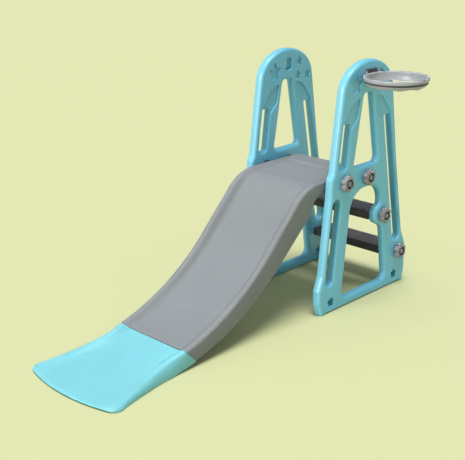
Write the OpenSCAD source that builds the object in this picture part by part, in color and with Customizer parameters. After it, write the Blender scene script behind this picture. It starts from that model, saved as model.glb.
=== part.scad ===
// Toddler slide: two A-shaped side panels carry a chute with a flat platform,
// a flared run-out piece, two climbing steps and a ball hoop that hooks into the
// right panel. Millimetres, +Z up, the chute runs down towards -Y, the steps are
// at the rear and the hoop is on +X. The origin is at the bottom centre of the
// whole object's box.

/* [Frame] */
// Width over the outer faces of the two panels
frame_w = 486; // [470:2:520]
// Thickness of a panel
panel_t = 40; // [34:1:44]
// Depth of the shallow pockets beside the upper window
pocket_depth = 7; // [3:1:10]
// Depth of the star decorations
star_depth = 7; // [1:0.5:8]

/* [Chute] */
// Width of the chute over its rims
chute_w = 390; // [370:2:396]
// Height of the platform above the floor
deck_z = 572; // [540:2:600]
// Width of each side beam under the rims
beam_w = 45; // [40:1:55]
// Width of the top of each rim
rim_w = 28; // [22:1:34]
// Thickness of the sliding floor
floor_t = 20; // [16:1:24]
// Steepest angle of the chute
slide_angle = 45.5; // [44:0.5:46]

/* [Run-out] */
// Half width at the front corners
tip_half_w = 262; // [240:2:280]
// Thickness at the front edge
tip_t = 14; // [10:1:18]

/* [Steps] */
// Depth of a step from front to back
step_d = 110; // [90:2:116]
// Thickness of a step
step_t = 40; // [34:1:46]
// Depth of the recess under a step
step_recess = 8; // [0:1:10]

/* [Fasteners] */
// Diameter of a stud's shaft
stud_d = 16; // [12:1:18]
// Radial clearance round a stud
stud_gap = 0.3; // [0.2:0.1:0.6]
// Diameter over the lobes of a hand nut
nut_d = 72; // [60:1:76]
// Thickness of a hand nut
nut_t = 26; // [18:1:28]

/* [Hoop] */
// Outer radius of the ring
hoop_r = 132; // [120:1:140]
// Height of the ring's top face
hoop_z = 998; // [990:1:1004]
// How far the hoop lifts before its hook meets the top of the slot
hoop_lift = 20; // [14:1:24]

/* [Hidden] */
$fn = 64;
arc_steps = 10;
gap = 0.3;
past = 1;

teal = "#5fa9b2";
cyan = "#8fdfea";
grey = "#a0a5a7";
charcoal = "#46434a";
nut_grey = "#8f8a92";
pale_grey = "#b5b3bd";

inner_x = frame_w / 2 - panel_t;
chute_x = chute_w / 2;

// Studs in the panels, as [y, z]: the platform's two, then the steps'
platform_front = [-142, 556];
platform_rear = [4, 554];
upper_step_at = [129, 355];
lower_step_at = [256, 155];
stud_places = [platform_front, platform_rear, upper_step_at, lower_step_at];

// ---- Outlines of a panel, as [y, z, corner radius] ----

panel_corners = [
    [0, 1083, 211], [163, 988, 127], [219, 600, 400], [284, 245, 70], [318, 175, 45],
    [318, 48, 45], [298, 0, 14], [-274, 0, 14], [-299, 52, 40], [-299, 112, 22],
    [-276, 172, 30], [-234, 500, 200], [-230, 584, 16], [-216, 604, 14], [-163, 988, 127]];
upper_window = [[-82, 608, 18], [82, 608, 18], [29, 914, 23], [-29, 914, 23]];
lower_window = [[-142, 42, 26], [170, 42, 30], [138, 290, 40], [122, 306, 14], [72, 330, 34],
    [72, 386, 34], [113, 408, 14], [111, 505, 84], [-95, 505, 98], [-100, 400, 120]];
front_slot = [[-185, 612, 20], [-138, 612, 20], [-112, 806, 10], [-161, 806, 10]];
front_low_slot = [[-258, 122, 22], [-210, 122, 22], [-164, 492, 22], [-213, 492, 22]];
rear_slot = [[218, 212, 20], [265, 212, 20], [162, 806, 10], [112, 806, 10]];
front_pocket = [[-161, 800, 2], [-112, 775, 10], [-66, 820, 8], [-56, 900, 3], [-100, 884, 60]];
foot_holes = [[-218, 45], [234, 47]];
big_star = [-83, 955, 41];
small_stars = [[75, 987, 20], [68, 925, 20], [131, 922, 20]];

// Slot in the head of a panel that the hoop's tongue goes through
slot_w = 44;
slot_h = 56;
slot_at = [5, 982];

// ---- Side view of the chute ----

bend_y = -245;
bend_r = 200;
straight = 238;
run_r = 970;
run_angle = 14;
bend_steps = 10;
run_steps = 14;
deck_rear = 58;
deck_corner_r = 60;
crease_y = -50;
crease_drop = 3;
beam_deck_h = 60;
beam_bend_h = 108;
beam_straight_h = 95;
beam_end_h = 68;
floor_bend_drop = 30;
floor_end_drop = 19;

line_y = bend_y - bend_r * sin(slide_angle);
line_z = deck_z - bend_r * (1 - cos(slide_angle));
line_end_y = line_y - straight * cos(slide_angle);
line_end_z = line_z - straight * sin(slide_angle);
seam_y = line_end_y - run_r * (sin(slide_angle) - sin(run_angle));
seam_z = line_end_z - run_r * (cos(run_angle) - cos(slide_angle));

// Stations along the rim's crest, as [y, z, slope, beam height, floor drop]
bend_stations = [for (i = [0:bend_steps]) let (k = i / bend_steps, a = k * slide_angle)
    [bend_y - bend_r * sin(a), deck_z - bend_r * (1 - cos(a)), a,
        beam_deck_h + k * (beam_bend_h - beam_deck_h),
        crease_drop + (0.4 + 0.6 * k) * (floor_bend_drop - crease_drop)]];
run_stations = [for (i = [0:run_steps])
    let (k = i / run_steps, a = slide_angle - k * (slide_angle - run_angle))
    [line_end_y - run_r * (sin(slide_angle) - sin(a)), line_end_z - run_r * (cos(a) - cos(slide_angle)),
        a, beam_straight_h + k * (beam_end_h - beam_straight_h),
        floor_bend_drop + k * (floor_end_drop - floor_bend_drop)]];
stations = concat(bend_stations, run_stations);

// The point that lies a depth below the crest at a station
function below(s, depth) = [s[0] + depth * sin(s[2]), s[1] - depth * cos(s[2])];
function reversed(list) = [for (i = [len(list) - 1:-1:0]) list[i]];

crest = concat([[deck_rear, deck_z]], [for (s = stations) below(s, 0)]);
beam_foot = concat([[deck_rear, deck_z - beam_deck_h]], [for (s = stations) below(s, s[3])]);
ledge = concat([[deck_rear, deck_z], [crease_y, deck_z]], [for (s = stations) below(s, s[4] * 0.6)]);
floor_top = concat([[deck_rear, deck_z], [crease_y, deck_z], [crease_y, deck_z - crease_drop]],
    [for (s = stations) below(s, s[4])]);
floor_foot = concat([[deck_rear, deck_z - floor_t]],
    [[crease_y, deck_z - crease_drop - floor_t]], [for (s = stations) below(s, s[4] + floor_t)]);

// ---- Joint between the chute and the run-out ----

seam_lean = 41;
tongue_l = 66;
tongue_t = 10;
tongue_w = 240;
screw_x = 80;
screw_d = 8;
screw_head_d = 20;
screw_head_t = 4;
screw_along = 44;

// ---- Run-out ----

tip_y = -1445;
tip_corner_y = -1400;
tip_corner_r = 36;
run_out_l = seam_y - tip_corner_y;
rim_steps = 10;
// Slope of the rims at the front corners, and how far the floor still lies below them there
end_angle = 5;
floor_lip = 4;
sag = tip_corner_y - tip_y;
tip_r = (tip_half_w * tip_half_w + sag * sag) / (2 * sag);
tip_arc_angle = asin(tip_half_w / tip_r);
tip_steps = 12;

// ---- Hoop ----

hoop_x = frame_w / 2 + hoop_r + 3;
hoop_y = -8;
mount_y = slot_at.x;
lip_h = 25;
lip_w = 12;
skirt_h = 18;
plate_w = 75;
plate_h = 72;
plate_t = 8;
tongue_z0 = slot_at.y - slot_h / 2 + gap;
hook_t = 8;
hook_drop = 16;
net_hooks = 9;

// ---- Origin: bottom centre of the box round all the pieces ----

box_x = [-frame_w / 2 - nut_t, hoop_x + hoop_r];
box_y = [tip_y, 318];
origin = [(box_x[0] + box_x[1]) / 2, (box_y[0] + box_y[1]) / 2, 0];

// ---- Helpers ----

function unit(v) = v / norm(v);

// Arc that rounds the corner q between its neighbours p and r
function corner(p, q, r) =
    let (at = [q.x, q.y], u = unit([p.x, p.y] - at), w = unit([r.x, r.y] - at),
        half = acos(u * w) / 2, centre = at + unit(u + w) * q[2] / sin(half),
        s = at + u * q[2] / tan(half) - centre, e = at + w * q[2] / tan(half) - centre,
        start = atan2(s.y, s.x), turn = atan2(s.x * e.y - s.y * e.x, s * e))
    [for (i = [0:arc_steps]) centre + q[2] * [cos(start + turn * i / arc_steps),
        sin(start + turn * i / arc_steps)]];

function rounded(path) = let (n = len(path))
    [for (i = [0:n - 1]) each corner(path[(i + n - 1) % n], path[i], path[(i + 1) % n])];

function flipped(path) = [for (p = reversed(path)) [-p.x, p.y, p[2]]];

// Moves the working frame's origin to the object's origin
module place() {
    translate(-origin)
        children();
}

// Extrudes a shape drawn in Y and Z from one X to another
module slab(x0, x1) {
    translate([x0, 0, 0])
        rotate([90, 0, 90])
            linear_extrude(x1 - x0)
                children();
}

// A cylinder along X
module rod(at, x0, x1, d) {
    translate([x0, at.x, at.y])
        rotate([0, 90, 0])
            cylinder(d = d, h = x1 - x0);
}

module star(at, points = 5, waist = 0.5) {
    translate([at.x, at.y])
        polygon([for (i = [0:2 * points - 1])
            let (r = i % 2 == 0 ? at[2] : at[2] * waist, a = 90 + i * 180 / points)
            [r * cos(a), r * sin(a)]]);
}

module flower(at, r = 14) {
    translate([at.x, at.y]) {
        circle(r);
        for (i = [0:4])
            rotate(90 + i * 72)
                translate([r, 0])
                    circle(r * 0.62);
    }
}

// ---- Panels ----

module panel_openings() {
    polygon(rounded(upper_window));
    polygon(rounded(lower_window));
    polygon(rounded(front_slot));
    polygon(rounded(front_low_slot));
    polygon(rounded(rear_slot));
    for (at = foot_holes)
        flower(at);
    translate(slot_at)
        square([slot_w, slot_h], center = true);
}

module panel_pockets() {
    polygon(rounded(front_pocket));
    polygon(rounded(flipped(front_pocket)));
}

module panel_stars() {
    star(big_star);
    for (at = small_stars)
        star(at);
}

module panel(x0) {
    x1 = x0 + panel_t;
    difference() {
        slab(x0, x1)
            polygon(rounded(panel_corners));
        slab(x0 - past, x1 + past)
            panel_openings();
        slab(x0 - past, x0 + pocket_depth)
            panel_pockets();
        slab(x1 - pocket_depth, x1 + past)
            panel_pockets();
        slab(x0 - past, x0 + star_depth)
            panel_stars();
        slab(x1 - star_depth, x1 + past)
            panel_stars();
        for (at = stud_places)
            rod(at, x0 - past, x1 + past, stud_d + 2 * stud_gap);
    }
}

module left_panel() {
    color(teal)
        place()
            panel(-frame_w / 2);
}

module right_panel() {
    color(teal)
        place()
            panel(inner_x);
}

// ---- Chute ----

// Everything on the run-out's side of the seam, leaning back as it goes down
module beyond_seam(shift) {
    translate([seam_y + shift, seam_z])
        rotate(-90 + seam_lean)
            translate([-400, -900])
                square([800, 900]);
}

module beam() {
    polygon(concat(crest, reversed(beam_foot)));
}

module floor_strip() {
    polygon(concat(floor_top, reversed(floor_foot)));
}

module deck_plan() {
    translate([-chute_x, -1200])
        square([chute_w, 1200 + deck_rear - deck_corner_r]);
    translate([-chute_x + deck_corner_r, -1200])
        square([chute_w - 2 * deck_corner_r, 1200 + deck_rear]);
    for (side = [-1, 1])
        translate([side * (chute_x - deck_corner_r), deck_rear - deck_corner_r])
            circle(deck_corner_r);
}

module chute_body() {
    intersection() {
        union() {
            for (side = [-1, 1])
                mirror([side < 0 ? 1 : 0, 0, 0]) {
                    slab(chute_x - rim_w, chute_x)
                        beam();
                    slab(chute_x - beam_w, chute_x - rim_w)
                        intersection() {
                            beam();
                            polygon(concat(ledge, reversed(beam_foot)));
                        }
                }
            slab(-chute_x + beam_w, chute_x - beam_w)
                floor_strip();
        }
        linear_extrude(700)
            deck_plan();
    }
}

boss_d = 40;

module side_bosses() {
    for (side = [-1, 1], at = [platform_front, platform_rear])
        mirror([side < 0 ? 1 : 0, 0, 0])
            rod(at, chute_x - past, inner_x, boss_d);
}

stud_flange_d = 28;
stud_flange_t = 6;
stud_in = 42;

// The space that a captive stud takes in the chute or a step
module stud_space(at, mouth_x) {
    x0 = inner_x - stud_in - stud_gap;
    for (side = [-1, 1])
        mirror([side < 0 ? 1 : 0, 0, 0]) {
            rod(at, x0, mouth_x, stud_d + 2 * stud_gap);
            rod(at, x0, x0 + stud_flange_t + 2 * stud_gap, stud_flange_d + 2 * stud_gap);
        }
}

// Where a run-out screw enters, on the underside of the sliding floor
screw_station = stations[len(stations) - 1];
screw_depth = floor_end_drop + floor_t;

module screw_at(side) {
    start = below(screw_station, screw_depth);
    along = screw_along * [cos(run_angle), sin(run_angle)];
    translate([side * screw_x, start.x + along.x, start.y + along.y])
        rotate([run_angle, 0, 0])
            children();
}

module chute() {
    color(grey)
        place()
            difference() {
                union() {
                    chute_body();
                    side_bosses();
                }
                stud_space(platform_front, inner_x + past);
                stud_space(platform_rear, inner_x + past);
                slab(-chute_x - past, chute_x + past)
                    beyond_seam(gap);
                for (side = [-1, 1])
                    screw_at(side)
                        translate([0, 0, -past])
                            cylinder(d = screw_d + 2 * gap, h = floor_t - 5 + past);
            }
}

// ---- Run-out ----

function tip_arc() = [for (i = [0:tip_steps]) let (a = -tip_arc_angle + 2 * tip_arc_angle * i / tip_steps)
    [tip_r * sin(a), tip_y + tip_r * (1 - cos(a)), 0]];

module run_out_plan(inset) {
    x1 = tip_half_w - inset;
    x2 = chute_x - inset;
    y1 = tip_corner_y + inset;
    front = [for (p = tip_arc()) if (abs(p.x) < x1 - 20) [p.x, p.y + inset]];
    polygon(concat(
        [[x2, -900], [-x2, -900], [-x2, -1060], [-x2 - 27, -1250]],
        corner([-x2 - 27, -1250], [-x1, y1, tip_corner_r], front[0]),
        front,
        corner(front[len(front) - 1], [x1, y1, tip_corner_r], [x2 + 27, -1250]),
        [[x2 + 27, -1250], [x2, -1060]]));
}

// Height of the run-out's rim along the slide
function run_crest(y) = let (run = seam_y - y)
    seam_z - tan(run_angle) * run + (tan(run_angle) - tan(end_angle)) * run * run / (2 * run_out_l);

// Side view of the run-out, with its top a given drop below the rim at the seam and at the tip
module run_out_side(seam_drop, end_drop) {
    polygon(concat([[-880, run_crest(-880) - seam_drop]],
        [for (i = [0:rim_steps]) let (k = i / rim_steps, y = seam_y - k * run_out_l)
            [y, run_crest(y) - seam_drop - k * (end_drop - seam_drop)]],
        [[tip_y - past, tip_t], [tip_y - past, 0], [-1080, 0], [-960, 19],
            [-880, 19 + 80 * tan(run_angle)]]));
}

module tongue() {
    top = below(screw_station, screw_depth + gap);
    translate([-tongue_w / 2, top.x, top.y])
        rotate([run_angle, 0, 0])
            translate([0, -12, -tongue_t])
                cube([tongue_w, tongue_l + 12, tongue_t]);
}

module run_out() {
    color(cyan)
        place()
            difference() {
                union() {
                    difference() {
                        intersection() {
                            linear_extrude(200)
                                run_out_plan(0);
                            slab(-300, 300)
                                intersection() {
                                    run_out_side(0, 0);
                                    beyond_seam(0);
                                }
                        }
                        intersection() {
                            linear_extrude(200)
                                run_out_plan(rim_w);
                            slab(-300, 300)
                                difference() {
                                    translate([-1500, 0])
                                        square([700, 200]);
                                    run_out_side(floor_end_drop, floor_lip);
                                }
                        }
                    }
                    tongue();
                }
                for (side = [-1, 1])
                    screw_at(side)
                        translate([0, 0, -tongue_t - 2])
                            cylinder(d = screw_d + 2 * gap, h = tongue_t + 4);
            }
}

// A screw that comes up through the tongue into the chute's floor
module run_out_screw(side) {
    color(charcoal)
        place()
            screw_at(side) {
                translate([0, 0, -tongue_t - 2 * gap])
                    cylinder(d = screw_d, h = tongue_t + floor_t - 6);
                translate([0, 0, -tongue_t - 2 * gap - screw_head_t])
                    cylinder(d = screw_head_d, h = screw_head_t);
            }
}

module run_out_screw_left() {
    run_out_screw(-1);
}

module run_out_screw_right() {
    run_out_screw(1);
}

// ---- Steps ----

step_half_l = inner_x - gap;
step_end = 60;
step_rim = 8;
step_rib_t = 4;
step_ribs = 5;
tread_ridges = 7;
tread_ridge_h = 2;

module step_outline(inset) {
    d = step_d - 2 * inset;
    t = step_t - inset;
    polygon(rounded([[-d / 2, -step_t / 2, 5], [d / 2, -step_t / 2, 5],
        [d / 2, t - step_t / 2, 9], [-d / 2, t - step_t / 2, 9]]));
}

module step_board(at) {
    hollow = 2 * (step_half_l - step_end);
    translate([0, at.x, at.y])
        difference() {
            slab(-step_half_l, step_half_l)
                step_outline(0);
            difference() {
                slab(-hollow / 2, hollow / 2)
                    translate([-step_d / 2 + step_rim, -step_t / 2 - past])
                        square([step_d - 2 * step_rim, step_recess + past]);
                for (i = [1:step_ribs])
                    translate([-hollow / 2 + i * hollow / (step_ribs + 1), 0, 0])
                        cube([step_rib_t, step_d, 2 * step_t], center = true);
            }
            for (i = [0:tread_ridges])
                translate([-step_half_l + 12, (i - tread_ridges / 2) * 11 - 1.5, step_t / 2 - tread_ridge_h])
                    cube([2 * step_half_l - 24, 3, step_t]);
        }
}

module upper_step() {
    color(charcoal)
        place()
            difference() {
                step_board(upper_step_at);
                stud_space(upper_step_at, inner_x + past);
            }
}

module lower_step() {
    color(charcoal)
        place()
            difference() {
                step_board(lower_step_at);
                stud_space(lower_step_at, inner_x + past);
            }
}

// ---- Studs and hand nuts ----

// A captive stud: a flange inside the chute or the step, a shaft out to the nut
module stud(at, side) {
    x0 = inner_x - stud_in;
    color(nut_grey)
        place()
            mirror([side < 0 ? 1 : 0, 0, 0])
                difference() {
                    union() {
                        rod(at, x0, frame_w / 2 + nut_t - 2, stud_d);
                        rod(at, x0, x0 + stud_flange_t, stud_flange_d);
                    }
                    rod(at, frame_w / 2 + nut_t - 10, frame_w / 2 + nut_t, stud_d / 2);
                }
}

lobe_r = 9;
lobes = 6;

module hand_nut(at, side) {
    x0 = frame_w / 2;
    color(nut_grey)
        place()
            mirror([side < 0 ? 1 : 0, 0, 0])
                difference() {
                    union() {
                        rod(at, x0, x0 + nut_t - 4, nut_d - lobe_r);
                        rod(at, x0, x0 + nut_t, 44);
                        for (i = [0:lobes - 1])
                            rod(at + (nut_d / 2 - lobe_r) * [cos(i * 60 + 30), sin(i * 60 + 30)],
                                x0, x0 + nut_t - 2, 2 * lobe_r);
                    }
                    rod(at, x0 - past, x0 + nut_t + past, stud_d + 2 * stud_gap);
                    rod(at, x0 + nut_t - 6, x0 + nut_t + past, 28);
                }
}

module platform_front_stud_left() {
    stud(platform_front, -1);
}

module platform_front_stud_right() {
    stud(platform_front, 1);
}

module platform_rear_stud_left() {
    stud(platform_rear, -1);
}

module platform_rear_stud_right() {
    stud(platform_rear, 1);
}

module upper_step_stud_left() {
    stud(upper_step_at, -1);
}

module upper_step_stud_right() {
    stud(upper_step_at, 1);
}

module lower_step_stud_left() {
    stud(lower_step_at, -1);
}

module lower_step_stud_right() {
    stud(lower_step_at, 1);
}

module platform_front_nut_left() {
    hand_nut(platform_front, -1);
}

module platform_front_nut_right() {
    hand_nut(platform_front, 1);
}

module platform_rear_nut_left() {
    hand_nut(platform_rear, -1);
}

module platform_rear_nut_right() {
    hand_nut(platform_rear, 1);
}

module upper_step_nut_left() {
    hand_nut(upper_step_at, -1);
}

module upper_step_nut_right() {
    hand_nut(upper_step_at, 1);
}

module lower_step_nut_left() {
    hand_nut(lower_step_at, -1);
}

module lower_step_nut_right() {
    hand_nut(lower_step_at, 1);
}

// ---- Hoop ----

module hoop_ring() {
    translate([hoop_x, hoop_y, 0]) {
        rotate_extrude($fn = 96)
            polygon([[hoop_r - lip_w, hoop_z - lip_h - skirt_h + 6],
                [hoop_r - lip_w + 5, hoop_z - lip_h - skirt_h],
                [hoop_r - 5, hoop_z - lip_h - 2], [hoop_r - 2, hoop_z - lip_h], [hoop_r, hoop_z - 6],
                [hoop_r - 3, hoop_z], [hoop_r - lip_w + 3, hoop_z], [hoop_r - lip_w, hoop_z - 4]]);
        for (i = [0:net_hooks - 1])
            rotate(i * 360 / net_hooks)
                translate([hoop_r - lip_w + 0.5, -9, hoop_z - lip_h - skirt_h - 6])
                    cube([6, 18, 16]);
    }
}

module hoop_mount() {
    plate_x = frame_w / 2 + gap;
    hook_x = inner_x - gap - hook_t;
    tongue_h = slot_h - hoop_lift - 4 * gap;
    difference() {
        translate([plate_x, mount_y - plate_w / 2, hoop_z + 15 - plate_h])
            cube([plate_t, plate_w, plate_h]);
        translate([hoop_x, hoop_y, 0])
            cylinder(r = hoop_r - lip_w / 2, h = 1200);
    }
    translate([hook_x, mount_y - slot_w / 2 + 2, tongue_z0])
        cube([plate_x + plate_t / 2 - hook_x, slot_w - 4, tongue_h]);
    translate([hook_x, mount_y - slot_w / 2 + 2, tongue_z0 - hook_drop])
        cube([hook_t, slot_w - 4, tongue_h + hook_drop]);
}

module hoop() {
    color(pale_grey)
        place() {
            hoop_ring();
            hoop_mount();
        }
}

left_panel();
right_panel();
chute();
run_out();
upper_step();
lower_step();
hoop();
platform_front_stud_left();
platform_front_stud_right();
platform_rear_stud_left();
platform_rear_stud_right();
upper_step_stud_left();
upper_step_stud_right();
lower_step_stud_left();
lower_step_stud_right();
platform_front_nut_left();
platform_front_nut_right();
platform_rear_nut_left();
platform_rear_nut_right();
upper_step_nut_left();
upper_step_nut_right();
lower_step_nut_left();
lower_step_nut_right();
run_out_screw_left();
run_out_screw_right();
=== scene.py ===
"""A toddler slide: rounded hollow-moulded panels and chute, ribbed steps, hand nuts and a ball hoop."""

import math

import bmesh
import bpy
import numpy as np
from mathutils import Matrix, Vector
from mathutils.geometry import tessellate_polygon


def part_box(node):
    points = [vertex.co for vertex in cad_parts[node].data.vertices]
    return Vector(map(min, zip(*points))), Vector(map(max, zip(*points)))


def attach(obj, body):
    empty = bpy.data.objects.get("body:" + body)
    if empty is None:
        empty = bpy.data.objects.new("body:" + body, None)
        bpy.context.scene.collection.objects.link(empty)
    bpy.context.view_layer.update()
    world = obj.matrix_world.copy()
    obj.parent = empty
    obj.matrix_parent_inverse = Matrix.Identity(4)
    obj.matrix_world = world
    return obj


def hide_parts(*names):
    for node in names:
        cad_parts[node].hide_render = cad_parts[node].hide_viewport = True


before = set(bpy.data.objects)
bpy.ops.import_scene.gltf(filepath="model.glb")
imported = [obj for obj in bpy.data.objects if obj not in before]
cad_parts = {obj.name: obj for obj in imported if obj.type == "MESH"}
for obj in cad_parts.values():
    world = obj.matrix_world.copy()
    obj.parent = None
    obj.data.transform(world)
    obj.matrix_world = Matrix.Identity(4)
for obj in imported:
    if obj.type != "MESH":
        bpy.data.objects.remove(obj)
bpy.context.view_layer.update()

# Shapes are drawn in millimetres: X from the middle of the slide, Y from the middle line of the
# panels, Z from the floor. to_frame() moves them to the part's own frame in metres.
MM = 0.001
PANEL_REAR = 318
MID_X = (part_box("left_panel")[0].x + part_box("right_panel")[1].x) / 2
MID_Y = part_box("right_panel")[1].y - PANEL_REAR * MM
PANEL_OUT = (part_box("right_panel")[1].x - MID_X) / MM
PANEL_IN = (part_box("right_panel")[0].x - MID_X) / MM
ARC_STEPS = 10


def to_frame(p):
    """A drawing point as a point of the part's frame."""
    return Vector((MID_X + p[0] * MM, MID_Y + p[1] * MM, p[2] * MM))


def middle(node):
    """The middle of a CAD node's box, in drawing millimetres."""
    lo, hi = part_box(node)
    centre = (lo + hi) / 2
    return np.array([(centre.x - MID_X) / MM, (centre.y - MID_Y) / MM, centre.z / MM])


def smooth(k):
    """An S-shaped step from 0 to 1, for one value or for an array."""
    k = np.clip(k, 0, 1)
    return k * k * (3 - 2 * k)


def lerp(a, b, k):
    """The value a share k of the way from a to b."""
    return a + (b - a) * k


def arc(radius, start, end, count):
    """(across, up) offsets from an arc's centre, at angles in degrees from start to end."""
    angles = np.radians(np.linspace(start, end, count))
    return [(radius * math.cos(a), radius * math.sin(a)) for a in angles]


# ---- Materials ----

def ramp_noise(tree, scale, low, high, detail=4.0, roughness=0.55):
    """A noise in object space, mapped to the range low to high."""
    coords = tree.nodes.new("ShaderNodeTexCoord")
    noise = tree.nodes.new("ShaderNodeTexNoise")
    noise.inputs["Scale"].default_value = scale
    noise.inputs["Detail"].default_value = detail
    noise.inputs["Roughness"].default_value = roughness
    spread = tree.nodes.new("ShaderNodeMapRange")
    spread.inputs["From Min"].default_value = 0.3
    spread.inputs["From Max"].default_value = 0.7
    spread.inputs["To Min"].default_value = low
    spread.inputs["To Max"].default_value = high
    tree.links.new(coords.outputs["Object"], noise.inputs["Vector"])
    tree.links.new(noise.outputs["Fac"], spread.inputs["Value"])
    return spread.outputs["Result"]


def plastic(name, colour, roughness, grain=900.0, grain_depth=0.00006, mottle=0.05, specular=0.4):
    """Moulded plastic: a fine grain, slow variation in tone, and a roughness that wanders a little."""
    material = bpy.data.materials.new(name)
    material.use_nodes = True
    tree = material.node_tree
    shader = tree.nodes["Principled BSDF"]
    tone = tree.nodes.new("ShaderNodeHueSaturation")
    tone.inputs["Color"].default_value = (*colour, 1)
    tree.links.new(ramp_noise(tree, 3.5, 1 - mottle, 1 + mottle), tone.inputs["Value"])
    tree.links.new(tone.outputs["Color"], shader.inputs["Base Color"])
    tree.links.new(ramp_noise(tree, 12, roughness * 0.9, roughness * 1.1), shader.inputs["Roughness"])
    shader.inputs["Specular IOR Level"].default_value = specular
    fine = tree.nodes.new("ShaderNodeBump")
    fine.inputs["Strength"].default_value = 0.5
    fine.inputs["Distance"].default_value = grain_depth
    wavy = tree.nodes.new("ShaderNodeBump")
    wavy.inputs["Strength"].default_value = 0.4
    wavy.inputs["Distance"].default_value = 0.0012
    tree.links.new(ramp_noise(tree, grain, 0, 1, detail=2), fine.inputs["Height"])
    tree.links.new(ramp_noise(tree, 9, 0, 1, detail=1), wavy.inputs["Height"])
    tree.links.new(wavy.outputs["Normal"], fine.inputs["Normal"])
    tree.links.new(fine.outputs["Normal"], shader.inputs["Normal"])
    return material


def metal(name, colour, roughness):
    """Dull metal with a fine grain."""
    material = plastic(name, colour, roughness, grain=1500, grain_depth=0.00003, mottle=0.08)
    material.node_tree.nodes["Principled BSDF"].inputs["Metallic"].default_value = 0.9
    return material


MATERIALS = {
    "panel_plastic": plastic("panel_plastic", (0.13, 0.46, 0.61), 0.34, specular=0.8),
    "run_out_plastic": plastic("run_out_plastic", (0.175, 0.50, 0.56), 0.38),
    "chute_plastic": plastic("chute_plastic", (0.205, 0.217, 0.227), 0.58, specular=0.2),
    # step_plastic also serves as painted shade: the nut cups, the hoop's groove band and plate-top strip, and
    # the platform bosses.
    "step_plastic": plastic("step_plastic", (0.06, 0.056, 0.062), 0.50, grain=500, grain_depth=0.0002),
    "fastener_plastic": plastic("fastener_plastic", (0.27, 0.265, 0.29), 0.34),
    "hoop_plastic": plastic("hoop_plastic", (0.33, 0.335, 0.37), 0.30),
    "screw_steel": metal("screw_steel", (0.05, 0.05, 0.055), 0.35),
}


# ---- Mesh helpers ----

def corner(p, q, r, radius):
    """Points of the arc that rounds corner q between its neighbours p and r."""
    p, q, r = (np.array(v, float) for v in (p, q, r))
    u = (p - q) / np.linalg.norm(p - q)
    w = (r - q) / np.linalg.norm(r - q)
    half = math.acos(np.clip(u @ w, -1, 1)) / 2
    centre = q + (u + w) / np.linalg.norm(u + w) * radius / math.sin(half)
    s = q + u * radius / math.tan(half) - centre
    e = q + w * radius / math.tan(half) - centre
    start = math.atan2(s[1], s[0])
    turn = math.atan2(s[0] * e[1] - s[1] * e[0], s @ e)
    angles = start + turn * np.linspace(0, 1, ARC_STEPS + 1)
    return [centre + radius * np.array([math.cos(a), math.sin(a)]) for a in angles]


def rounded(path):
    """A closed path of (a, b, corner radius), with its corners rounded."""
    n = len(path)
    points = []
    for i, (a, b, radius) in enumerate(path):
        points += corner(path[i - 1][:2], (a, b), path[(i + 1) % n][:2], radius)
    return np.array(points)


def flipped(path):
    """The path mirrored in its first coordinate, in an order that keeps its direction."""
    return [(-a, b, radius) for a, b, radius in reversed(path)]


def turned(loop, solid_inside):
    """The loop in the direction that has the solid on its left."""
    x, y = loop[:, 0], loop[:, 1]
    area = np.sum(x * np.roll(y, -1) - y * np.roll(x, -1))
    return loop if (area > 0) == solid_inside else loop[::-1].copy()


def normals_of(loop):
    """Mitred normals of a closed loop, pointing into the solid."""
    edge = np.roll(loop, -1, axis=0) - loop
    edge /= np.maximum(np.linalg.norm(edge, axis=1), 1e-9)[:, None]
    left = np.stack([-edge[:, 1], edge[:, 0]], axis=1)
    both = left + np.roll(left, 1, axis=0)
    both /= np.maximum(np.linalg.norm(both, axis=1), 1e-9)[:, None]
    return both / np.maximum(np.sum(both * left, axis=1), 0.5)[:, None]


def bevel(width, depth, steps=6):
    """(distance into the solid, depth below the face) along a rounded edge, from the face inwards."""
    angles = np.linspace(0, math.pi / 2, steps + 1)
    return [(width * (1 - math.sin(a)), depth * (1 - math.cos(a))) for a in angles]


class Shell:
    """Collects the rings, walls and fills of one closed mesh."""

    def __init__(self):
        self.verts = []
        self.faces = []

    def ring(self, points):
        """Adds points and gives their numbers in the mesh."""
        first = len(self.verts)
        self.verts += [tuple(p) for p in points]
        return list(range(first, len(self.verts)))

    def wall(self, a, b):
        """Joins two rings with the same number of points."""
        n = len(a)
        self.faces += [(a[i], a[(i + 1) % n], b[(i + 1) % n], b[i]) for i in range(n)]

    def tube(self, rings):
        """Adds rings of points and joins each with the next."""
        made = [self.ring(r) for r in rings]
        for a, b in zip(made, made[1:]):
            self.wall(a, b)
        return made

    def fill(self, rings, drop_axis):
        """Fills the space between an outer ring and any rings inside it."""
        keep = [i for i in range(3) if i != drop_axis]
        flat = [[Vector((self.verts[i][keep[0]], self.verts[i][keep[1]], 0)) for i in ring] for ring in rings]
        index = [i for ring in rings for i in ring]
        self.faces += [tuple(index[k] for k in tri) for tri in tessellate_polygon(flat)]

    def build(self, name, body, slot, replaces=(), sharp=40):
        """Makes the piece, which rides on a body. Edges sharper than an angle in degrees stay crisp."""
        mesh = bpy.data.meshes.new(name)
        mesh.from_pydata([to_frame(v) for v in self.verts], [], self.faces)
        work = bmesh.new()
        work.from_mesh(mesh)
        bmesh.ops.remove_doubles(work, verts=work.verts, dist=0.000002)
        bmesh.ops.recalc_face_normals(work, faces=work.faces)
        work.to_mesh(mesh)
        work.free()
        mesh.shade_smooth()
        mesh.set_sharp_from_angle(angle=math.radians(sharp))
        mesh.materials.append(MATERIALS[slot])
        obj = bpy.data.objects.new(name, mesh)
        bpy.context.scene.collection.objects.link(obj)
        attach(obj, body)
        if replaces:
            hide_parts(*replaces)
        return obj


# ---- Side panels: (y, z, corner radius) ----

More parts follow.
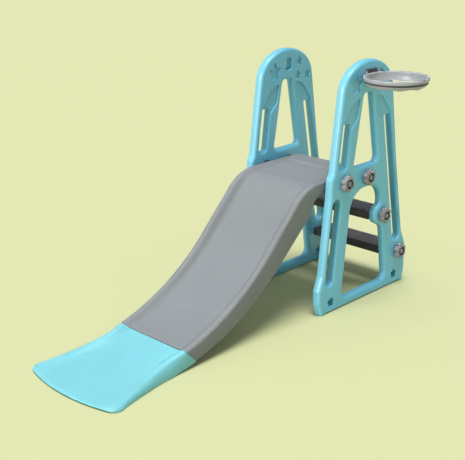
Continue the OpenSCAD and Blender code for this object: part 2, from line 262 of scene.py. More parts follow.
OUTLINE = [
    (0, 1083, 211), (163, 988, 127), (219, 600, 400), (284, 245, 70), (318, 175, 45),
    (318, 48, 45), (303, 14, 20), (302, 0, 3.5), (286, 0, 3), (278, 4, 4), (-252, 4, 4), (-260, 0, 3),
    (-280, 0, 3.5), (-283, 14, 20), (-299, 52, 40), (-299, 112, 22),
    (-276, 172, 30), (-234, 500, 200), (-230, 584, 16), (-216, 604, 14), (-163, 988, 127)]
UPPER_WINDOW = [(-82, 608, 18), (82, 608, 18), (29, 914, 23), (-29, 914, 23)]
LOWER_WINDOW_LEFT = [(-100, 400, 120), (-142, 42, 26)]
LOWER_WINDOW_RIGHT = [(170, 42, 30), (138, 290, 40), (122, 306, 14), (72, 330, 34), (72, 386, 34),
                      (113, 408, 14)]
LOWER_WINDOW_TOP = [(111, 505, 84), (-95, 505, 98)]
LOW_SLOT = [(-258, 122, 22), (-210, 122, 22), (-164, 492, 22), (-213, 492, 22)]
POCKET_TOP = [(-67, 818, 10), (-57, 896, 5), (-100, 886, 60), (-163, 802, 4)]
FRONT_POCKET = [(-188, 609, 20), (-136, 609, 20), (-111, 778, 14)] + POCKET_TOP
FRONT_SLOT = [(-185, 612, 17), (-139, 612, 17), (-114, 802, 8), (-159, 802, 8)]
REAR_POCKET = flipped(POCKET_TOP) + [(114, 786, 14), (218, 209, 22), (268, 209, 22)]
REAR_SLOT = [(220, 212, 19), (265, 212, 19), (161, 802, 8), (115, 802, 8)]
TONGUE_SLOT = [(-17, 958, 7), (-4, 954, 3), (5, 948, 3), (14, 954, 3), (27, 958, 7),
               (27, 1004, 7), (14, 1008, 3), (5, 1013, 3), (-4, 1008, 3), (-17, 1004, 7)]
STARS = [(-83, 955, 43), (76, 987, 23), (67, 925, 23), (131, 922, 23)]
FLOWERS = [(-218, 45), (234, 47)]
EDGE_R = 13
FOOT_EDGE_R = 3.2
WINDOW_R = 16
WINDOW_TOP_R = 11
RIM_R = 8
SLOT_R = 13
POCKET_R = 4
POCKET_DEPTH = 7
HEAD_Z = 805
STAR_DEPTH = 7
SEAM = 0.3
SUPPORT = 1.0
HOLE_EDGE = 1.6
TONGUE_SLOT_EDGE = 1.5


def star_path(y, z, radius, waist=0.52, points=5):
    """A star with rounded tips, one of them upright."""
    path = []
    for i in range(2 * points):
        r = radius * (1 if i % 2 == 0 else waist)
        angle = math.pi / 2 + i * math.pi / points
        tip_round = radius * (0.07 if i % 2 == 0 else 0.10)
        path.append((y + r * math.cos(angle), z + r * math.sin(angle), tip_round))
    return path


def flower_loop(y, z, reach=23, waist=13.5, petals=5):
    """The outline of a hole with rounded petals, one of them upright."""
    points = []
    upright = math.pi / 2 + math.pi / petals
    for a in np.linspace(0, 2 * math.pi, 20 * petals, endpoint=False):
        r = lerp(waist, reach, abs(math.sin(petals / 2 * a)) ** 0.7)
        points.append((y + r * math.cos(a + upright), z + r * math.sin(a + upright)))
    return np.array(points)


def in_panel(loop, distance, x):
    """The loop moved into the solid by a distance, or by one distance for each point, at one X."""
    distances = np.broadcast_to(np.asarray(distance, float), (len(loop),))
    moved = loop + normals_of(loop) * distances[:, None]
    return [(x, y, z) for y, z in moved]


def through_rings(loop, outer_x, inner_x, widths, depth):
    """Rings of a hole or an outline from one face of the panel to the other, past the moulding line."""
    side = 1 if outer_x > inner_x else -1
    edge = [(widths + SUPPORT, 0)] + [(widths * d, depth * h) for d, h in bevel(1, 1)]
    rings = [in_panel(loop, d, outer_x - side * h) for d, h in edge]
    mid = (outer_x + inner_x) / 2
    for dx, d in ((1.4, 0), (0.6, -SEAM), (-0.6, -SEAM), (-1.4, 0)):
        rings.append(in_panel(loop, d, mid + side * dx))
    rings += [in_panel(loop, d, inner_x + side * h) for d, h in reversed(edge)]
    return rings


def rim_widths(loop, inward):
    """Edge widths of a slot or a pocket: wide towards the window, narrow on the rim."""
    return lerp(RIM_R, SLOT_R, np.clip(0.5 + 0.5 * normals_of(loop)[:, 0] * inward, 0, 1))


def pocket_widths(loop, inward):
    """Edge widths of a slot's rim, which turn crisp where the pocket runs up into the head."""
    return lerp(POCKET_R, rim_widths(loop, inward), smooth((HEAD_Z - loop[:, 1]) / 45))


def panel(name, outer_x, inner_x, node):
    """A side panel. Both faces carry the same windows, slots, curved pockets and stars."""
    shell = Shell()
    side = 1 if outer_x > inner_x else -1
    faces = {outer_x: [], inner_x: []}
    into = {outer_x: -side, inner_x: side}

    def through(loop, widths, depth):
        """Adds a hole, or the outline, and leaves its rings open for both faces."""
        made = shell.tube(through_rings(loop, outer_x, inner_x, widths, depth))
        faces[outer_x].append(made[0])
        faces[inner_x].append(made[-1])

    outline = turned(rounded(OUTLINE), True)
    through(outline, lerp(FOOT_EDGE_R, EDGE_R, smooth((outline[:, 1] - 6) / 42)), EDGE_R)
    for window in (UPPER_WINDOW, LOWER_WINDOW_LEFT + LOWER_WINDOW_RIGHT + LOWER_WINDOW_TOP):
        loop = turned(rounded(window), False)
        beside_pocket = np.clip((loop[:, 1] - 740) / 60, 0, 1)
        through(loop, lerp(WINDOW_R, WINDOW_TOP_R, beside_pocket), WINDOW_R)
    through(turned(rounded(TONGUE_SLOT), False), TONGUE_SLOT_EDGE, TONGUE_SLOT_EDGE)
    for y, z in FLOWERS:
        through(turned(flower_loop(y, z), False), HOLE_EDGE, HOLE_EDGE)
    low = turned(rounded(LOW_SLOT), False)
    through(low, rim_widths(low, 1), 10)

    for pocket, slot, inward in ((FRONT_POCKET, FRONT_SLOT, 1), (REAR_POCKET, REAR_SLOT, -1)):
        rim = turned(rounded(pocket), False)
        widths = pocket_widths(rim, inward)
        floors = []
        levels = []
        for x, way in into.items():
            edge = [(widths + SUPPORT, 0)] + [(widths * d, h * POCKET_DEPTH) for d, h in bevel(1, 1)]
            made = shell.tube([in_panel(rim, d, x + way * h) for d, h in edge])
            faces[x].append(made[0])
            floors.append(made[-1])
            levels += [(HOLE_EDGE / 2, x + way * POCKET_DEPTH), (0, x + way * (POCKET_DEPTH + HOLE_EDGE / 2))]
        levels[2:] = reversed(levels[2:])
        cut = turned(rounded(slot), False)
        walls = shell.tube([in_panel(cut, d, x) for d, x in levels])
        shell.fill([floors[0], walls[0]], 0)
        shell.fill([floors[1], walls[-1]], 0)

    for x, way in into.items():
        for y, z, radius in STARS:
            loop = turned(rounded(star_path(y, z, radius)), False)
            levels = [(1.8, 0)] + bevel(1.3, 1.3, 3) + [(-0.4, STAR_DEPTH - 0.6), (-1.0, STAR_DEPTH)]
            made = shell.tube([in_panel(loop, d, x + way * h) for d, h in levels])
            faces[x].append(made[0])
            shell.fill([made[-1]], 0)
    for rings in faces.values():
        shell.fill(rings, 0)
    return shell.build(name, "slide", "panel_plastic", [node])


# ---- Chute ----

DECK_Z = 572
CHUTE_X = 195
BEND_Y = -245
BEND_R = 200
SLIDE_ANGLE = math.radians(45.5)
STRAIGHT = 238
RUN_R = 970
RUN_ANGLE = math.radians(14)
DECK_REAR = 58
DECK_CORNER_R = 60
DECK_END_R = 12
CREASE_Y = -50
FLOOR_T = 20
BEAM_W = 45
DECK_BEAM_H = 60
BEND_BEAM_H = 108
STRAIGHT_BEAM_H = 95
SEAM_BEAM_H = 68
BEND_DROP = 30
SEAM_DROP = 19
CREASE_DROP = 3
SEAM_LEAN = math.radians(41)
LEAN_REACH = 130
SEAM_GAP = 1.8
BOSS_R = 20
BOSS_SIDES = 48
RIM_R_OUT = 12
BEAM_FOOT_R = 7
# The inner side of a rim: (distance from the outside of the rim, share of the floor's drop)
RIM_INSIDE = [(14, 0), (20, 0.015), (25, 0.07), (29, 0.18), (33, 0.34), (38, 0.55), (43, 0.74),
              (49, 0.88), (55, 0.965), (62, 1.0)]


def chute_stations():
    """(y, z, slope, beam height, floor drop) along the crest of the rims, from the deck to the seam."""
    found = []
    for y in np.linspace(DECK_REAR - 14, CREASE_Y + 12, 8):
        found.append((y, DECK_Z, 0, DECK_BEAM_H, 0))
    for k in np.linspace(0, 1, 4):
        found.append((CREASE_Y + lerp(2, -3, k), DECK_Z, 0, DECK_BEAM_H, CREASE_DROP * smooth(k)))
    for k in np.linspace(0.15, 0.999, 8):
        y = lerp(CREASE_Y, BEND_Y, k)
        found.append((y, DECK_Z, 0, DECK_BEAM_H, CREASE_DROP + (BEND_DROP - CREASE_DROP) * 0.4 * smooth(k)))
    for k in np.linspace(0, 1, 16):
        a = k * SLIDE_ANGLE
        drop = CREASE_DROP + (BEND_DROP - CREASE_DROP) * (0.4 + 0.6 * smooth(k))
        found.append((BEND_Y - BEND_R * math.sin(a), DECK_Z - BEND_R * (1 - math.cos(a)), a,
                      lerp(DECK_BEAM_H, BEND_BEAM_H, smooth(k)), drop))
    y0, z0 = found[-1][:2]
    y1, z1 = y0 - STRAIGHT * math.cos(SLIDE_ANGLE), z0 - STRAIGHT * math.sin(SLIDE_ANGLE)
    for k in np.linspace(0.1, 0.9, 6):
        found.append((lerp(y0, y1, k), lerp(z0, z1, k), SLIDE_ANGLE,
                      lerp(BEND_BEAM_H, STRAIGHT_BEAM_H, k), BEND_DROP))
    for k in np.linspace(0, 1, 26):
        a = lerp(SLIDE_ANGLE, RUN_ANGLE, k)
        found.append((y1 - RUN_R * (math.sin(SLIDE_ANGLE) - math.sin(a)),
                      z1 - RUN_R * (math.cos(a) - math.cos(SLIDE_ANGLE)), a,
                      lerp(STRAIGHT_BEAM_H, SEAM_BEAM_H, k), lerp(BEND_DROP, SEAM_DROP, smooth(k))))
    return found


STATIONS = chute_stations()
SEAM_Y, SEAM_Z = STATIONS[-1][:2]


def rim_section(half_w, height, drop, under):
    """Half of the chute's section as (x, depth below the crest), from the middle of the floor, over the
    rim and down the side to the middle of the underside. under is the depth of the floor's underside."""
    points = [((half_w - RIM_INSIDE[-1][0]) * k, drop) for k in (0, 0.34, 0.67)]
    points += [(half_w - d, share * drop) for d, share in reversed(RIM_INSIDE)]
    points += [(half_w - RIM_R_OUT + x, RIM_R_OUT - up) for x, up in arc(RIM_R_OUT, 75, 0, 6)]
    points += [(half_w - BEAM_FOOT_R + x, height - BEAM_FOOT_R + up) for x, up in arc(BEAM_FOOT_R, 0, 90, 5)]
    inner = half_w - BEAM_W
    points += [(inner + BEAM_FOOT_R - up, height - BEAM_FOOT_R + x) for x, up in arc(BEAM_FOOT_R, 0, 90, 5)]
    points += [(inner - 0.5, (height - BEAM_FOOT_R + under) / 2), (inner - 2, under + 6),
               (inner - 6, under + 1.5)]
    points += [((inner - 12) * k, under) for k in (1, 0.66, 0.33, 0)]
    return points


def mirrored_section(half):
    """A whole section from its right half: down the right side and back up the left."""
    left = [(-x, d) for x, d in reversed(half)][1:-1]
    return half + left


def chute():
    """The platform and slide in one piece, lofted through its stations and rounded at the deck's end."""
    stations = []
    for across, up in arc(DECK_END_R, 8, 90, 6):
        stations.append((DECK_REAR - DECK_END_R + across, DECK_Z, 0, DECK_BEAM_H, 0, DECK_END_R - up))
    stations += [(*station, 0) for station in STATIONS]
    rings = []
    for y, z, a, height, drop, inset in stations:
        reach = max(y - (DECK_REAR - DECK_CORNER_R), 0)
        narrow = DECK_CORNER_R - math.sqrt(max(DECK_CORNER_R ** 2 - reach ** 2, 0))
        ring = []
        for x, d in mirrored_section(rim_section(CHUTE_X, height, drop, drop + FLOOR_T)):
            width = max(abs(x) - narrow * smooth((abs(x) - 60) / 75), 0)
            mid = height / 2 if width > CHUTE_X - BEAM_W - narrow else FLOOR_T / 2
            depth = d + math.copysign(inset, mid - d)
            ring.append(beyond(math.copysign(width, x), y, z, a, depth))
        rings.append(ring)
    tube = Shell()
    made = tube.tube(rings)
    tube.fill([made[0]], 1)
    tube.fill([made[-1]], 1)
    return tube.build("chute", "slide", "chute_plastic", ["chute"])


def beyond(x, y, z, a, d):
    """The point a depth d under the crest, drawn back near the run-out so that the end face leans."""
    lean = math.tan(SEAM_LEAN)
    near = 1 - smooth((y - SEAM_Y) / LEAN_REACH)
    back = near * (SEAM_GAP + d * (lean * math.cos(a) - math.sin(a)) / (math.cos(a) + lean * math.sin(a)))
    return (x, y + d * math.sin(a) + back * math.cos(a), z - d * math.cos(a) + back * math.sin(a))


def boss(name, node, side):
    """A round spacer between the chute and a panel, round one of the platform's studs, made dark as painted
    shade.
    """
    shell = Shell()
    _, y, z = middle(node)
    rings = []
    for x, r in ((CHUTE_X - 3, BOSS_R), (PANEL_IN - 1.4, BOSS_R), (PANEL_IN - 0.2, BOSS_R - 1.2)):
        angles = np.linspace(0, 2 * math.pi, BOSS_SIDES, endpoint=False)
        rings.append([(side * x, y + r * math.cos(a), z + r * math.sin(a)) for a in angles])
    tube = shell.tube(rings)
    shell.fill([tube[0]], 0)
    shell.fill([tube[-1]], 0)
    return shell.build(name, "slide", "step_plastic")


# ---- Run-out ----

TIP_Y = -1445
TIP_CORNER_Y = -1400
TIP_HALF_W = 262
TIP_SAG = TIP_CORNER_Y - TIP_Y
TIP_R = (TIP_HALF_W ** 2 + TIP_SAG ** 2) / (2 * TIP_SAG)
TIP_CORNER_R = 40
NOSE_Z = 6.72
NOSE_START = 0.88
NOSE_FROM = 0.965
FLARE_Y = [-1400, -1385, -1330, -1264, -1170, -1120, -1070, -1010]
FLARE_HALF_W = [260, 256, 240, 225, 207, 200, 195, 194]
END_ANGLE = math.radians(5)
END_DROP = 4
SEAM_LIFT = 20
SIDE_EDGE = 21
TONGUE_L = 66
TONGUE_T = 10
TONGUE_HALF_W = 120


def half_width(y):
    """Half of the run-out's width at a Y, rounded off towards the front corners."""
    past = max(TIP_CORNER_Y + TIP_CORNER_R - y, 0)
    corner_w = TIP_CORNER_R - math.sqrt(max(TIP_CORNER_R ** 2 - past ** 2, 0))
    return float(np.interp(y, FLARE_Y, FLARE_HALF_W)) - corner_w


def tip_reach(x):
    """How far the front arc reaches past the line through the front corners."""
    return TIP_R - TIP_SAG - math.sqrt(TIP_R ** 2 - min(abs(x), TIP_HALF_W) ** 2)


def run_out():
    """The flared end of the slide, lofted from the leaning seam to its thin, bowed front edge."""
    shell = Shell()
    rings = []
    whole = SEAM_Y - TIP_CORNER_Y
    steep, flat = math.tan(RUN_ANGLE), math.tan(END_ANGLE)
    nose_shares = NOSE_START + (1 - NOSE_START) * np.sin(np.linspace(0.12, math.pi / 2 - 0.03, 11))
    for t in [*np.linspace(0, NOSE_START, 30), *nose_shares]:
        line = lerp(SEAM_Y, TIP_CORNER_Y, t)
        run = SEAM_Y - line
        crest = SEAM_Z - steep * run + (steep - flat) * run * run / (2 * whole)
        height = crest - max(0, SEAM_LIFT * (1 - run / 90))
        drop = lerp(SEAM_DROP, END_DROP, smooth(t))
        past_nose = max((t - NOSE_FROM) / (1 - NOSE_FROM), 0)
        squeeze = math.sqrt(max(1 - past_nose ** 2, 0))
        lean = math.tan(SEAM_LEAN) * (1 - smooth(run / LEAN_REACH))
        bow = max(0, (t - 0.3) / 0.7) ** 1.5
        ring = []
        for x, d in mirrored_section(run_section(half_width(line), height, drop, smooth(t / 0.2))):
            z = NOSE_Z + (crest - d - NOSE_Z) * squeeze
            ring.append((x, line + (crest - z) * lean + tip_reach(x) * bow, z))
        rings.append(ring)
    tube = shell.tube(rings)
    shell.fill([tube[0]], 1)
    shell.fill([tube[-1]], 1)
    return shell.build("run_out", "slide", "run_out_plastic", ["run_out"])


def run_section(half_w, height, drop, roll):
    """Half of the run-out's section. Its rims roll over further, from 0 at the seam to 1 along the side."""
    edge = lerp(RIM_R_OUT, SIDE_EDGE, roll)
    points = [((half_w - 72) * k, drop) for k in (0, 0.34, 0.67)]
    points += [(half_w - d - edge + RIM_R_OUT, share * drop) for d, share in reversed(RIM_INSIDE)]
    deep = min(lerp(RIM_R_OUT, 0.72 * height, roll), 0.72 * height)
    points += [(half_w - edge + edge * x, deep * (1 - up)) for x, up in arc(1, 75, 0, 8)]
    foot = min(4, height * 0.25)
    points += [(half_w - foot + x, height - foot + up) for x, up in arc(foot, 0, 90, 4)]
    points += [((half_w - 20) * k, height) for k in (1, 0.66, 0.33, 0)]
    return points


def tongue():
    """The run-out's tongue, which lies under the chute's floor and takes the two screws."""
    y, z, a = STATIONS[-1][:3]
    floor_d = SEAM_DROP + FLOOR_T + 0.3
    right = [(TONGUE_HALF_W, -12, 2), (TONGUE_HALF_W, TONGUE_L, 16)]
    loop = turned(rounded(right + flipped(right)), True)
    shell = Shell()
    rings = []
    for inset, down in ((1, 0), (0, 1), (0, TONGUE_T - 1), (1, TONGUE_T)):
        y0 = y + (floor_d + down) * math.sin(a)
        z0 = z - (floor_d + down) * math.cos(a)
        moved = loop + normals_of(loop) * inset
        rings.append([(x, y0 + along * math.cos(a), z0 + along * math.sin(a)) for x, along in moved])
    tube = shell.tube(rings)
    shell.fill([tube[0]], 2)
    shell.fill([tube[-1]], 2)
    return shell.build("run_out_tongue", "slide", "run_out_plastic")


# ---- Steps ----

STEP_D = 110
STEP_T = 40
NOSE = 6
FOOT_R = 5
RIDGES = 8
RIDGE_PITCH = 11
RIDGE = [(-3.4, -2), (-2.4, -0.5), (-1.4, 0), (1.4, 0), (2.4, -0.5), (3.4, -2)]
GROOVE_D = 2.2


def step(name, node):
    """A step board: ridges along the tread, which stop short of the two plain ends."""
    shell = Shell()
    _, y0, z0 = middle(node)
    lo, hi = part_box(node)
    half_l = (hi.x - lo.x) / 2 / MM
    front, top = STEP_D / 2, STEP_T / 2
    side = [(front - NOSE + x, top - NOSE + up - 0.6) for x, up in arc(NOSE, 90, 0, 7)]
    side += [(front - FOOT_R + x, FOOT_R - top - up) for x, up in arc(FOOT_R, 0, 90, 5)]
    outline = []
    for i in range(RIDGES):
        y = (i - (RIDGES - 1) / 2) * RIDGE_PITCH
        outline += [(y + dy, top + dz) for dy, dz in RIDGE]
    outline += side + [(-y, z) for y, z in reversed(side)]
    plain = [(y, min(z, top - GROOVE_D)) for y, z in outline]
    stations = [(half_l, plain), (half_l - 14, plain), (half_l - 16, outline)]
    stations = [(-x, shape) for x, shape in stations] + stations[::-1]
    tube = shell.tube([[(x, y0 + y, z0 + z) for y, z in shape] for x, shape in stations])
    shell.fill([tube[0]], 0)
    shell.fill([tube[-1]], 0)
    return shell.build(name, "slide", "step_plastic", [node], sharp=50)


# ---- Fasteners ----

LOBES = 6
NUT_R = 36
NUT_T = 25
NOTCH = 9
BORE_R = 20
BORE_D = 10
STUD_END_R = 11
RING_SIDES = 96
LOBE_TURN = math.pi / 6


def nut_ring(y, z, x, shrink, side):
    """The nut's lobed outline, shrunk by a distance, at one X."""
    points = []
    for a in np.linspace(0, 2 * math.pi, RING_SIDES, endpoint=False):
        r = NUT_R - NOTCH + NOTCH * abs(math.cos(LOBES / 2 * a)) ** 0.75 - shrink
        points.append((side * x, y + r * math.cos(a + LOBE_TURN), z + r * math.sin(a + LOBE_TURN)))
    return points


def circle_ring(y, z, x, r, side):
    """A circle at one X, with its points in step with nut_ring's."""
    angles = np.linspace(0, 2 * math.pi, RING_SIDES, endpoint=False) + LOBE_TURN
    return [(side * x, y + r * math.cos(a), z + r * math.sin(a)) for a in angles]


def hand_nut(name, node, side):
    """A lobed nut with a wide counterbore, and a dark cup that lines the counterbore as painted shade round
    the stud's end.
    """
    shell = Shell()
    _, y, z = middle(node)
    face = PANEL_OUT + 0.2 + NUT_T
    lobed = [(-NUT_T, 2.5), (2.5 - NUT_T, 0.6), (5 - NUT_T, 0), (-7, 0.4), (-4.4, 1.1), (-2.6, 2.8), (-2, 5)]
    bored = [(-2.2, 25.4), (-0.4, 24), (0, 23), (0, 21.4), (-0.8, BORE_R + 0.4), (-2, BORE_R),
             (-BORE_D, BORE_R)]
    rings = [nut_ring(y, z, face + dx, shrink, side) for dx, shrink in lobed]
    rings += [circle_ring(y, z, face + dx, r, side) for dx, r in bored]
    tube = shell.tube(rings)
    shell.fill([tube[0]], 0)
    shell.fill([tube[-1]], 0)

    # The dark cup paints shade onto the counterbore's floor and wall.
    shade_cup = Shell()
    cup = [(-0.5, 0.3), (BORE_D - 2.4, 0.3), (BORE_D - 1.6, -0.4), (BORE_D - 2.2, -1.2), (2.6, -1.6), (2, -3),
           (2, STUD_END_R - BORE_R)]
    tube = shade_cup.tube([circle_ring(y, z, face - BORE_D + up, BORE_R + dr, side) for up, dr in cup])
    shade_cup.fill([tube[0]], 0)
    shade_cup.fill([tube[-1]], 0)
    return [shell.build(name, "slide", "fastener_plastic", [node]),
            shade_cup.build(name + "_shade_cup", "slide", "step_plastic")]


def stud(name, node, side):
    """A stud with a thick, dished end, which shows at the bottom of the nut's counterbore."""
    shell = Shell()
    _, y, z = middle(node)
    end = PANEL_OUT + NUT_T
    profile = [(PANEL_IN - 20, 8), (end - 12, 8), (end - 11.5, STUD_END_R), (end - 1.4, STUD_END_R),
               (end, 9.6), (end, 6), (end - 1.2, 5)]
    tube = shell.tube([circle_ring(y, z, x, r, side) for x, r in profile])
    shell.fill([tube[0]], 0)
    shell.fill([tube[-1]], 0)
    return shell.build(name, "slide", "fastener_plastic", [node])


# ---- Hoop ----

HOOP_R = 132
HOOP_Z = 998
HOOP_TURNS = 144
GROOVE_IN = 9.2
GROOVE_TOP = -17.4
GROOVE_BOTTOM = -21.6
GROOVE_SHADE_OUT = 6
SKIRT_TOP = -25
SKIRT_LOW = -34.5
SCALLOP_DEPTH = 6
SCALLOPS = 9
SKIRT_TAPER = 0.85
SKIRT_TURN = math.radians(8)
PLATE_HALF_W = 38
PLATE_T = 8
PLATE_TOP = 8
PLATE_BOTTOM = -56
PLATE_MID = -20
PLATE_FRONT = 0.975
TEETH = 6
TOOTH_PITCH = 12
HOOK_T = 8
HOOK_Z = 955.6
HOOK_H = 28.5
HOOK_DROP = 16
HOOK_HALF_W = 13
BLOCK_EDGE = 1.2


def hoop_turn(shell, profile):
    """Turns a closed profile of (distance past the hoop's radius, height over its rim) round the hoop.

    A height of None is the skirt's lower edge, which is scalloped and drawn in as it drops.
    """
    centre_x = (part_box("hoop")[1].x - MID_X) / MM - HOOP_R
    centre_y = middle("hoop")[1]
    made = []
    for a in np.linspace(0, 2 * math.pi, HOOP_TURNS, endpoint=False):
        share = abs(2 * ((a + SKIRT_TURN) * SCALLOPS / (2 * math.pi) % 1) - 1)
        low = SKIRT_LOW - SCALLOP_DEPTH * share ** 1.4
        ring = []
        for d, height in profile:
            r = HOOP_R + d
            if height is None:
                height = low
                r += SKIRT_TAPER * (low - SKIRT_TOP)
            ring.append((centre_x + r * math.cos(a), centre_y + r * math.sin(a), HOOP_Z + height))
        made.append(shell.ring(ring))
    for a, b in zip(made, made[1:] + made[:1]):
        shell.wall(a, b)


def add_block(shell, xs, ys, zs):
    """A block between two values each of X, Y and Z."""
    loop = [(ys[0], zs[0]), (ys[1], zs[0]), (ys[1], zs[1]), (ys[0], zs[1])]
    tube = shell.tube([[(x, y, z) for y, z in loop] for x in xs])
    shell.faces += [tuple(tube[0]), tuple(tube[1])]


def hoop():
    """The lipped ring with its scalloped skirt, and the plate and hook that hang it in the panel's slot. The
    groove and the plate's top carry dark pieces as painted shade.
    """
    ring = Shell()
    lip_side = [(0, -5), (0, -12.5), (-0.8, -14.6), (-2.6, -15.6), (-8, -16)]
    groove = [(-GROOVE_IN, GROOVE_TOP), (-GROOVE_IN, GROOVE_BOTTOM)]
    skirt = [(-8, -23), (-4.8, -23.4), (-4.2, SKIRT_TOP), (-4.2, None), (-9.4, None), (-12.6, -24)]
    lip_top = [(-12.4, -12), (-12, -5), (-11.2, -2.4), (-9.2, -0.5), (-6, 0), (-2.8, -0.5), (-0.8, -2.4)]
    hoop_turn(ring, lip_side + groove + skirt + lip_top)

    # A dark band in the groove under the lip: painted shadow in the gap between the lip and the skirt.
    groove_shade = Shell()
    outer, inner = -GROOVE_SHADE_OUT, -GROOVE_IN - 0.6
    top, bottom = GROOVE_TOP + 1.2, GROOVE_BOTTOM - 1
    hoop_turn(groove_shade, [(outer, top), (outer, bottom), (inner, bottom), (inner, top)])

    mount = Shell()
    mount_y = sum(p[0] for p in TONGUE_SLOT) / len(TONGUE_SLOT)
    half = [(PLATE_HALF_W, PLATE_BOTTOM, 8), (PLATE_HALF_W, PLATE_TOP, 6)]
    plate = turned(rounded(half + flipped(half)), True)
    x0 = PANEL_OUT + 0.4
    x1 = x0 + PLATE_T
    tube = mount.tube([[(x, mount_y + y * k, HOOP_Z + PLATE_MID + (z - PLATE_MID) * k) for y, z in plate]
                       for x, k in ((x0, 1), (x1 - 1, 1), (x1, PLATE_FRONT))])
    mount.fill([tube[0]], 0)
    mount.fill([tube[-1]], 0)
    hook_in, hook_out = PANEL_IN - HOOK_T - 0.3, PANEL_IN - 0.5
    hook = [(PANEL_OUT + 4, HOOK_Z), (PANEL_OUT + 4, HOOK_Z + HOOK_H), (hook_in, HOOK_Z + HOOK_H),
            (hook_in, HOOK_Z - HOOK_DROP), (hook_out, HOOK_Z - HOOK_DROP), (hook_out, HOOK_Z)]
    tube = mount.tube([[(x, mount_y + y, z) for x, z in hook] for y in (-HOOK_HALF_W, HOOK_HALF_W)])
    mount.fill([tube[0]], 1)
    mount.fill([tube[-1]], 1)

    # A dark strip over the plate's top band, with dark teeth along its edge: painted shade on the plate,
    # which is the hoop's own plastic facing away from the light.
    plate_top_shade = Shell()
    top = HOOP_Z + PLATE_TOP
    add_block(plate_top_shade, (x0, x1 + 0.6), (mount_y - 35, mount_y + 35), (top - 14, top + 0.6))
    for i in range(TEETH):
        y = mount_y + (i - (TEETH - 1) / 2) * TOOTH_PITCH
        add_block(plate_top_shade, (x0, x1 - 1), (y - 3, y + 3), (top - 3, top + 6.5))

    blocks = [mount.build("hoop_mount", "hoop", "hoop_plastic"),
              plate_top_shade.build("hoop_plate_top_shade", "hoop", "step_plastic")]
    for obj in blocks:
        soften = obj.modifiers.new("soften", "BEVEL")
        soften.width = BLOCK_EDGE * MM
        soften.segments = 2
        soften.limit_method = "ANGLE"
    return blocks + [ring.build("hoop_ring", "hoop", "hoop_plastic", ["hoop"]),
                     groove_shade.build("hoop_groove_shade", "hoop", "step_plastic")]


# ---- Stage ----

CAMERA_AT = (2626.1, -3232.9, 1699.5)
CAMERA_TURN = (44.53, 19.12, -0.52)
CAMERA_LENS = 75.62
FLOOR_REACH = 40
FLOOR_COLOUR = (0.64, 0.645, 0.36, 1)
SKY_COLOUR = (0.86, 0.95, 1.0, 1)
SKY_STRENGTH = 0.44
KEY_STRENGTH = 2.68
FRONT_STRENGTH = 2.2
EDGE_STRENGTH = 3.6
EDGE_COLOUR = (1.0, 0.76, 0.74)
SIDE_STRENGTH = 0.28
SIDE_COLOUR = (0.25, 0.6, 1.0)


def camera():
    """Looks down on the slide from in front and to its right, at the height of an adult's eyes.

    CAMERA_AT is in drawing millimetres. CAMERA_TURN is azimuth, elevation and roll in degrees.
    """
    azimuth, elevation, roll = (math.radians(v) for v in CAMERA_TURN)
    back = Vector((math.sin(azimuth) * math.cos(elevation), -math.cos(azimuth) * math.cos(elevation),
                   math.sin(elevation)))
    right = Vector((math.cos(azimuth), math.sin(azimuth), 0))
    up = back.cross(right)
    turned_right = right * math.cos(roll) + up * math.sin(roll)
    turned_up = up * math.cos(roll) - right * math.sin(roll)
    cam = bpy.data.objects.new("camera", bpy.data.cameras.new("camera"))
    cam.data.lens = CAMERA_LENS
    cam.data.clip_end = 200
    cam.matrix_world = Matrix((turned_right, turned_up, back)).transposed().to_4x4()
    cam.matrix_world.translation = to_frame(CAMERA_AT)
    bpy.context.scene.collection.objects.link(cam)
    bpy.context.scene.camera = cam


def floor():
    """A wide, plain, pale floor with no gloss."""
    mesh = bpy.data.meshes.new("floor")
    corners = [(-1, -1), (1, -1), (1, 1), (-1, 1)]
    mesh.from_pydata([(x * FLOOR_REACH, y * FLOOR_REACH, 0) for x, y in corners], [], [(0, 1, 2, 3)])
    material = bpy.data.materials.new("floor")
    material.use_nodes = True
    shader = material.node_tree.nodes["Principled BSDF"]
    shader.inputs["Base Color"].default_value = FLOOR_COLOUR
    shader.inputs["Roughness"].default_value = 0.9
    shader.inputs["Specular IOR Level"].default_value = 0.1
    mesh.materials.append(material)
    obj = bpy.data.objects.new("floor", mesh)
    bpy.context.scene.collection.objects.link(obj)


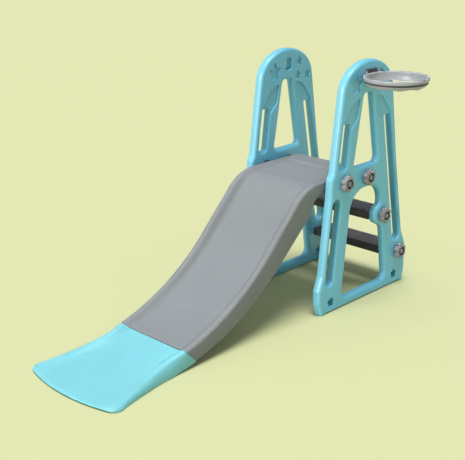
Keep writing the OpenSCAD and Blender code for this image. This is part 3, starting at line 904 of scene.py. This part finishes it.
def sun(name, azimuth, elevation, strength, softness, colour=(1, 1, 1), lit=None):
    """A distant light, with its angles in degrees. Azimuth 0 comes from -Y and 90 from +X.

    softness is the sun's apparent width. lit, if given, lists the only objects that the light reaches.
    """
    light = bpy.data.lights.new(name, "SUN")
    light.energy = strength
    light.angle = math.radians(softness)
    light.color = colour
    obj = bpy.data.objects.new(name, light)
    a, e = math.radians(azimuth), math.radians(elevation)
    towards = Vector((math.sin(a) * math.cos(e), -math.cos(a) * math.cos(e), math.sin(e)))
    obj.rotation_euler = towards.to_track_quat("Z", "Y").to_euler()
    bpy.context.scene.collection.objects.link(obj)
    if lit:
        group = bpy.data.collections.new(name + "_lit")
        for piece in lit:
            group.objects.link(piece)
        obj.light_linking.receiver_collection = group


def lights(panels, others):
    """A soft key from almost overhead, and fills that light the object but leave the floor alone."""
    world = bpy.data.worlds.new("world")
    world.use_nodes = True
    world.node_tree.nodes["Background"].inputs["Color"].default_value = SKY_COLOUR
    world.node_tree.nodes["Background"].inputs["Strength"].default_value = SKY_STRENGTH
    bpy.context.scene.world = world
    sun("key", 50, 82, KEY_STRENGTH, 28)
    sun("front_fill", -4, 22, FRONT_STRENGTH, 26, lit=others)
    sun("edge_fill", 0, 16, EDGE_STRENGTH, 20, EDGE_COLOUR, lit=panels)
    sun("side_fill", 75, 20, SIDE_STRENGTH, 60, SIDE_COLOUR, lit=panels)
    bpy.context.scene.view_settings.view_transform = "Standard"


def fasteners():
    """Eight studs with their nuts, and a boss round each of the platform's studs."""
    made = []
    for place in ("platform_front", "platform_rear", "upper_step", "lower_step"):
        for side, name in ((-1, "left"), (1, "right")):
            made += hand_nut(f"{place}_hand_nut_{name}", f"{place}_nut_{name}", side)
            made.append(stud(f"{place}_bolt_{name}", f"{place}_stud_{name}", side))
            if place.startswith("platform"):
                made.append(boss(f"{place}_boss_{name}", f"{place}_stud_{name}", side))
    return made


camera()
floor()
panels = [panel("left_panel_shell", -PANEL_OUT, -PANEL_IN, "left_panel"),
          panel("right_panel_shell", PANEL_OUT, PANEL_IN, "right_panel")]
others = [chute(), run_out(), tongue()]
others += [step("upper_step_board", "upper_step"), step("lower_step_board", "lower_step")]
others += fasteners() + hoop()
lights(panels, others)
for node in ("run_out_screw_left", "run_out_screw_right"):
    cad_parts[node].data.materials.clear()
    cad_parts[node].data.materials.append(MATERIALS["screw_steel"])
